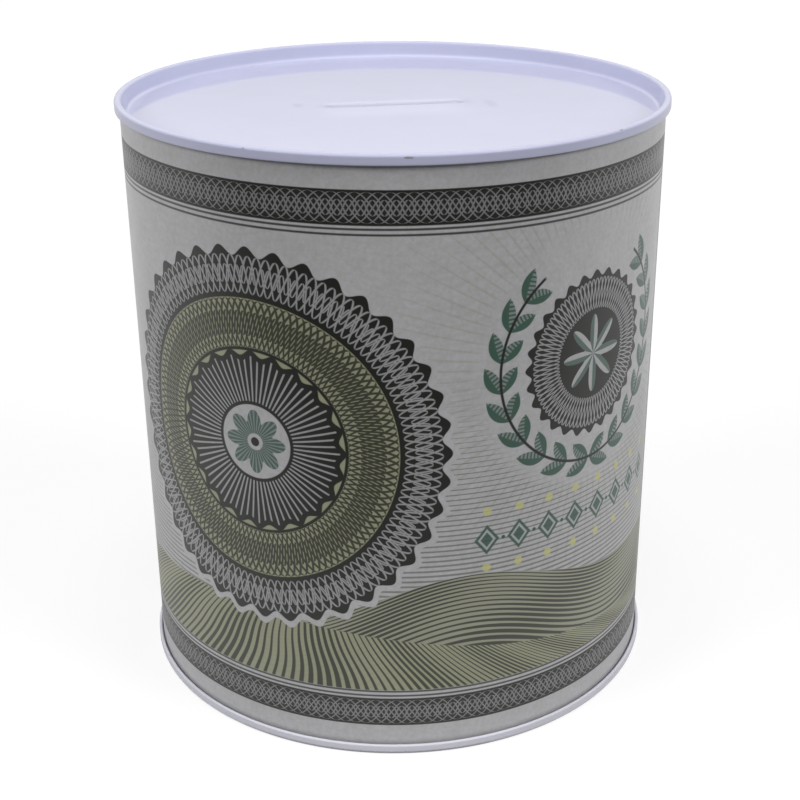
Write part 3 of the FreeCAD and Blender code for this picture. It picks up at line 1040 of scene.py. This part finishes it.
white_lacquer = lacquer_finish("white lacquer", WHITE_WITH_PAINTED_REFLECTION, foot_shade=FOOT_SHADE_SPOT)
bottom_end = closed_shell("stamped_bottom", bottom_end_grid(), white_lacquer, poles=True)
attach(bottom_end, "root")
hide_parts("bottom_end")

# Sealing compound: a grey rubbery ring that flows into the crown of each seam and is squeezed
# flat between the end and the wall's hook.
COMPOUND_WIDTH = 0.80 * MM
COMPOUND_GAP = 0.05 * MM
COMPOUND_ROWS = 24
COMPOUND_COLUMNS = 180
CORNER_POWER = 0.3
COMPOUND_ROUGHNESS = 0.7
COMPOUND = (0.150, 0.145, 0.125)
COMPOUND_DARK = (0.100, 0.096, 0.085)


def compound_finish():
    """Matt grey rubber, a little cloudy."""
    material, tree, shader, place = new_material("seam compound")
    colour = blend(COMPOUND, COMPOUND_DARK, noise(tree, place, 260, 3))
    tree.links.new(colour.socket, shader.inputs["Base Color"])
    shader.inputs["Roughness"].default_value = COMPOUND_ROUGHNESS
    return material


def compound_grid(top):
    """A rectangle with rounded corners carried round the axis under the crown.

    It is a circle with its cosine and sine each raised to a power below one.
    """
    middle = (CHUCK_RADIUS + SEAM_RADIUS) / 2
    half_width, half_depth = COMPOUND_WIDTH / 2, COMPOUND_DEPTH / 2 - COMPOUND_GAP
    turn = np.linspace(0, 2 * np.pi, COMPOUND_ROWS, endpoint=False)
    circle = np.stack([np.cos(turn), np.sin(turn)], axis=1)
    square = np.sign(circle) * np.abs(circle) ** CORNER_POWER
    section = square * (half_width, half_depth) + (middle, END_GAUGE + COMPOUND_DEPTH / 2)
    if top:
        section = section * (1, -1) + (0, CAN_HEIGHT)
    return turned(section, np.linspace(0, 2 * np.pi, COMPOUND_COLUMNS, endpoint=False))


rubber = compound_finish()
for name, top in (("top_seam_compound", True), ("bottom_seam_compound", False)):
    ring = closed_shell(f"{name}_ring", compound_grid(top), rubber)
    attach(ring, "root")
    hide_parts(name)

# Floor: a wide pale sheet that the can stands on and throws its soft shadow on. The camera sees
# it as white. A white card lies on it from a little before the can to far behind, which lights the
# wall and shows in the lacquer, and before the card's edge the floor is darker.
FLOOR_REACH = 12.0
CAMERA_TURN = math.radians(-8.8)
CARD_PALE = (0.36, 0.36, 0.36)
CARD_WHITE = (0.76, 0.76, 0.76)
FLOOR_PALE = (0.10, 0.10, 0.10)
FLOOR_SEEN = (0.24, 0.24, 0.24)
FLOOR_GLOW = 0.77
CARD_FRONT = 0.19
CARD_FADE = 0.16


def floor_finish():
    """Matt pale sheet with a white card, whose front edge is straight across the view and soft.

    To the camera most of its white is its own glow. Reflections see the card a little whiter than
    the light that it scatters.
    """
    material = bpy.data.materials.new("pale floor")
    material.use_nodes = True
    tree = material.node_tree
    tree.nodes.clear()
    path = tree.nodes.new("ShaderNodeLightPath")
    place = tree.nodes.new("ShaderNodeTexCoord").outputs["Object"]
    split = tree.nodes.new("ShaderNodeSeparateXYZ")
    tree.links.new(place, split.inputs[0])
    x, y = Field(split.outputs["X"]), Field(split.outputs["Y"])
    behind = y * math.cos(CAMERA_TURN) - x * math.sin(CAMERA_TURN)
    card = inside(behind + CARD_FRONT, CARD_FADE)
    seen = Field(path.outputs["Is Camera Ray"])
    mirrored = Field(path.outputs["Is Glossy Ray"])
    pale = blend(FLOOR_PALE, blend(CARD_PALE, CARD_WHITE, mirrored), card)
    matt = tree.nodes.new("ShaderNodeBsdfDiffuse")
    tree.links.new(blend(pale, FLOOR_SEEN, seen).socket, matt.inputs["Color"])
    glow = tree.nodes.new("ShaderNodeEmission")
    tree.links.new((seen * FLOOR_GLOW).socket, glow.inputs["Strength"])
    both = tree.nodes.new("ShaderNodeAddShader")
    tree.links.new(matt.outputs[0], both.inputs[0])
    tree.links.new(glow.outputs[0], both.inputs[1])
    leave = tree.nodes.new("ShaderNodeOutputMaterial")
    tree.links.new(both.outputs[0], leave.inputs["Surface"])
    return material


corners = [(-1, -1), (1, -1), (1, 1), (-1, 1)]
sheet = bpy.data.meshes.new("floor")
sheet.from_pydata([(x * FLOOR_REACH, y * FLOOR_REACH, 0) for x, y in corners], [], [(0, 1, 2, 3)])
sheet.materials.append(floor_finish())
floor = bpy.data.objects.new("floor", sheet)
bpy.context.collection.objects.link(floor)

# Studio light: soft light from overhead and from both sides, from far away, so that the floor is
# lit evenly, in a pale room. The lacquer mirrors the room and not the lamps, and the room is dimmer
# low down.


def soft_light(name, turn, elevation, spread, strength):
    """Distant lamp with a wide soft disc, its turn measured from the camera's side."""
    light = bpy.data.lights.new(name, "SUN")
    light.angle = math.radians(spread)
    light.energy = strength
    lamp = bpy.data.objects.new(name, light)
    bpy.context.collection.objects.link(lamp)
    lamp.rotation_euler = (math.radians(90 - elevation), 0, CAMERA_TURN + math.radians(turn))
    lamp.visible_glossy = False


soft_light("overhead light", 0, 84, 30, 1.58)
soft_light("left light", -63, 29, 28, 1.55)
soft_light("right light", 61, 29, 28, 1.65)

ROOM_LIGHT = 0.08
ROOM_LOW = 0.62
ROOM_HIGH = 1.24
LOW_RISE = math.sin(math.radians(9.5))
FULL_RISE = math.sin(math.radians(14.5))
world = bpy.data.worlds.new("pale room")
world.use_nodes = True
bpy.context.scene.world = world
path = world.node_tree.nodes.new("ShaderNodeLightPath")
rise = world.node_tree.nodes.new("ShaderNodeSeparateXYZ")
way = world.node_tree.nodes.new("ShaderNodeTexCoord").outputs["Generated"]
world.node_tree.links.new(way, rise.inputs[0])
pale = math_step("DIVIDE", Field(rise.outputs["Z"]) - LOW_RISE, FULL_RISE - LOW_RISE, clamp=True)
pale = pale * (ROOM_HIGH - ROOM_LOW) + ROOM_LOW
mirrored = Field(path.outputs["Is Glossy Ray"]) * pale
seen = math_step("MAXIMUM", Field(path.outputs["Is Camera Ray"]), mirrored)
strength = world.node_tree.nodes["Background"].inputs["Strength"]
world.node_tree.nodes["Background"].inputs["Color"].default_value = (1, 1, 1, 1)
world.node_tree.links.new((seen * (1 - ROOM_LIGHT) + ROOM_LIGHT).socket, strength)

# Camera: at the photograph's height and distance, a little left of the slot's middle. Its angles
# and its focal length are those that lay the can's outline on the photograph's.
CAMERA_AWAY = 0.4146
CAMERA_HEIGHT = 0.2555
CAMERA_SWING = math.radians(1.55)
CAMERA_TILT = math.radians(-23.5)
FOCAL_PIXELS = 1447.4
IMAGE_PIXELS = 800
CENTRE_SHIFT_PIXELS = 33.2
SENSOR_WIDTH = 36

camera = bpy.data.cameras.new("camera")
camera.sensor_width = SENSOR_WIDTH
camera.lens = FOCAL_PIXELS / IMAGE_PIXELS * SENSOR_WIDTH
camera.shift_x = -CENTRE_SHIFT_PIXELS / IMAGE_PIXELS
viewer = bpy.data.objects.new("camera", camera)
bpy.context.collection.objects.link(viewer)
viewer.location = (
    CAMERA_AWAY * math.sin(CAMERA_TURN),
    -CAMERA_AWAY * math.cos(CAMERA_TURN),
    CAMERA_HEIGHT,
)
viewer.rotation_euler = (math.pi / 2 + CAMERA_TILT, 0, CAMERA_TURN - CAMERA_SWING)
bpy.context.scene.camera = viewer
bpy.context.scene.view_settings.view_transform = "Standard"
